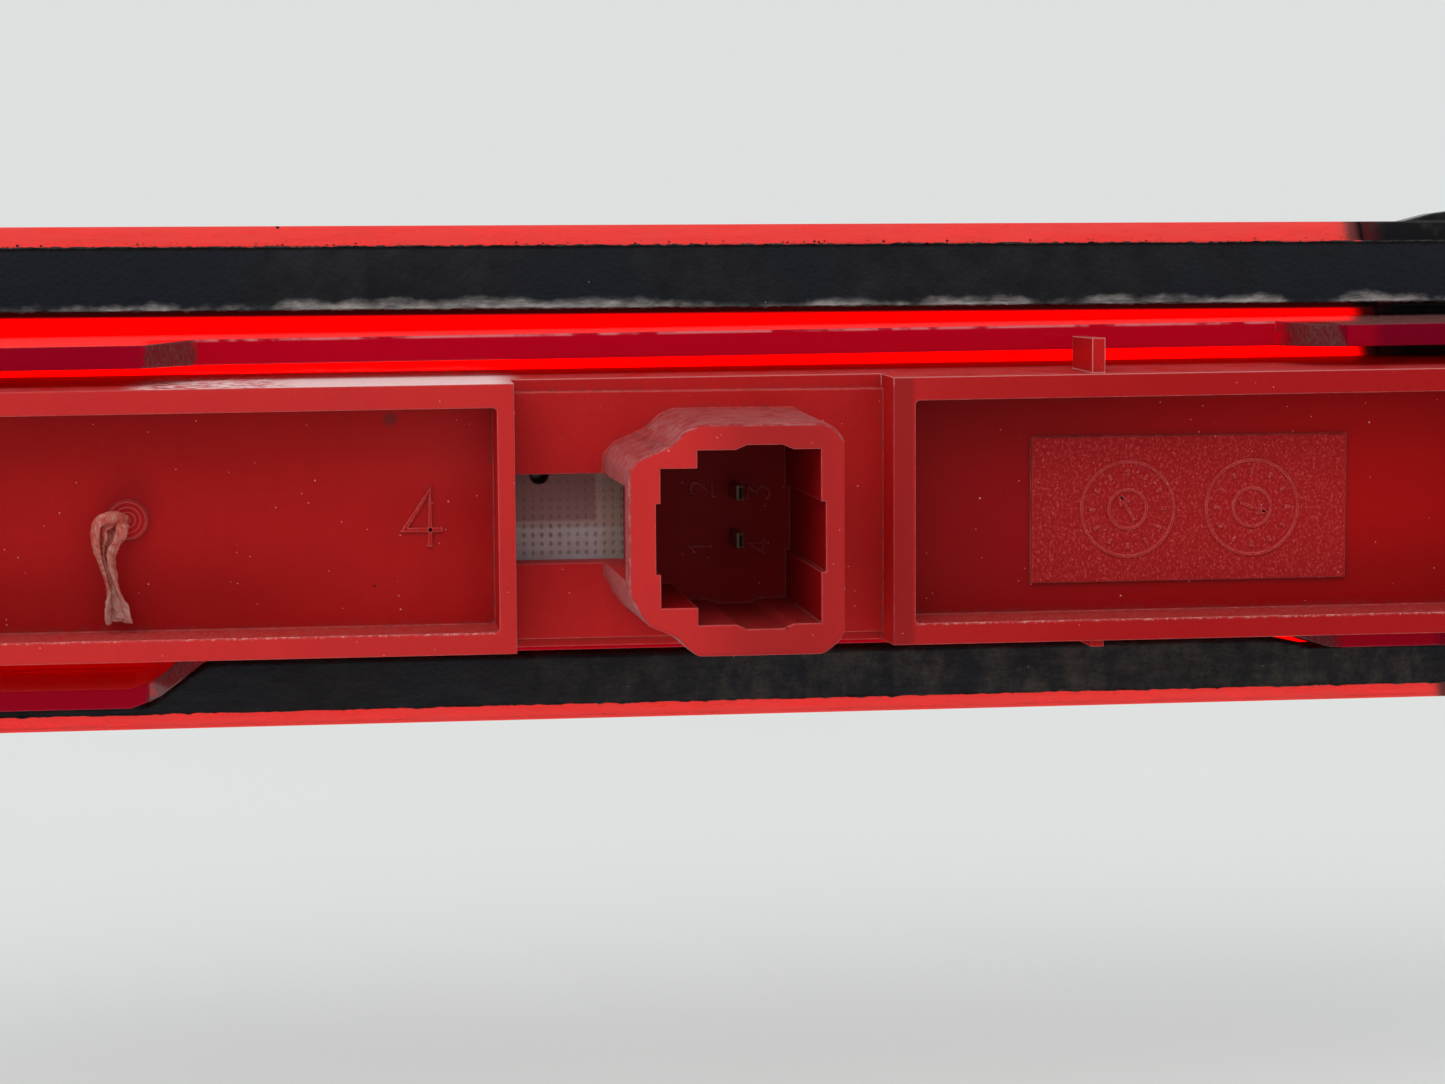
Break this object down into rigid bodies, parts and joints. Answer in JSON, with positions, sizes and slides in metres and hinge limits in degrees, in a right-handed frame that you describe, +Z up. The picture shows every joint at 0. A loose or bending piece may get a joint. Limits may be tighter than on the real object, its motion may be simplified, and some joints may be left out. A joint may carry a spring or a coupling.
{
  "type": "third brake light",
  "caption": "Long flat high-mounted brake lamp: red lens with black ends, sealed red housing with a wiring socket on the back, foam gasket and studs.",
  "frame": {"origin": "midway between the two mounting studs, on the gasket's free face, which is the mounting plane", "axes": "+X along the lamp, towards the end that is on the left when looking at its back; +Y out of the back, along the wiring socket and the studs; +Z up as mounted; the lens looks along -Y"},
  "size_m": [0.1984, 0.029, 0.0359],
  "materials": {
    "red_lens": "clear red moulded acrylic, glossy",
    "black_trim": "black moulded acrylic, glossy",
    "red_housing": "red moulded plastic, satin, slightly dusty",
    "foam": "charcoal closed-cell foam with torn edges",
    "adhesive": "translucent acrylic adhesive film",
    "board_laminate": "white solder mask on glass-fibre laminate, matt",
    "tinned_terminal": "tin-plated brass, dull",
    "solder": "solder, satin",
    "led_package": "white moulded package, satin",
    "reflector_metal": "vacuum-metallised plastic",
    "chip_ceramic": "black chip component, matt",
    "capacitor_ceramic": "tan ceramic, matt",
    "stud_steel": "zinc-plated steel",
    "gate_plastic": "translucent pinkish drawn plastic"
  },
  "bodies": {
    "root": {"lens": "red_lens", "lens_end_left": "black_trim", "lens_end_right": "black_trim", "foam_gasket": "foam", "gasket_adhesive": "adhesive", "rear_housing": "red_housing", "circuit_board": "board_laminate", "terminal_pin_upper": "tinned_terminal", "terminal_pin_lower": "tinned_terminal", "solder_joints": "solder", "led_01": "led_package", "led_02": "led_package", "led_03": "led_package", "led_04": "led_package", "led_05": "led_package", "led_06": "led_package", "led_07": "led_package", "led_08": "led_package", "led_09": "led_package", "led_10": "led_package", "reflector": "reflector_metal", "resistor_1": "chip_ceramic", "resistor_2": "chip_ceramic", "resistor_3": "chip_ceramic", "resistor_4": "chip_ceramic", "protection_diode": "chip_ceramic", "filter_capacitor": "capacitor_ceramic", "mounting_stud_left": "stud_steel", "mounting_stud_right": "stud_steel", "gate_string": "gate_plastic"}
  },
  "joints": []
}
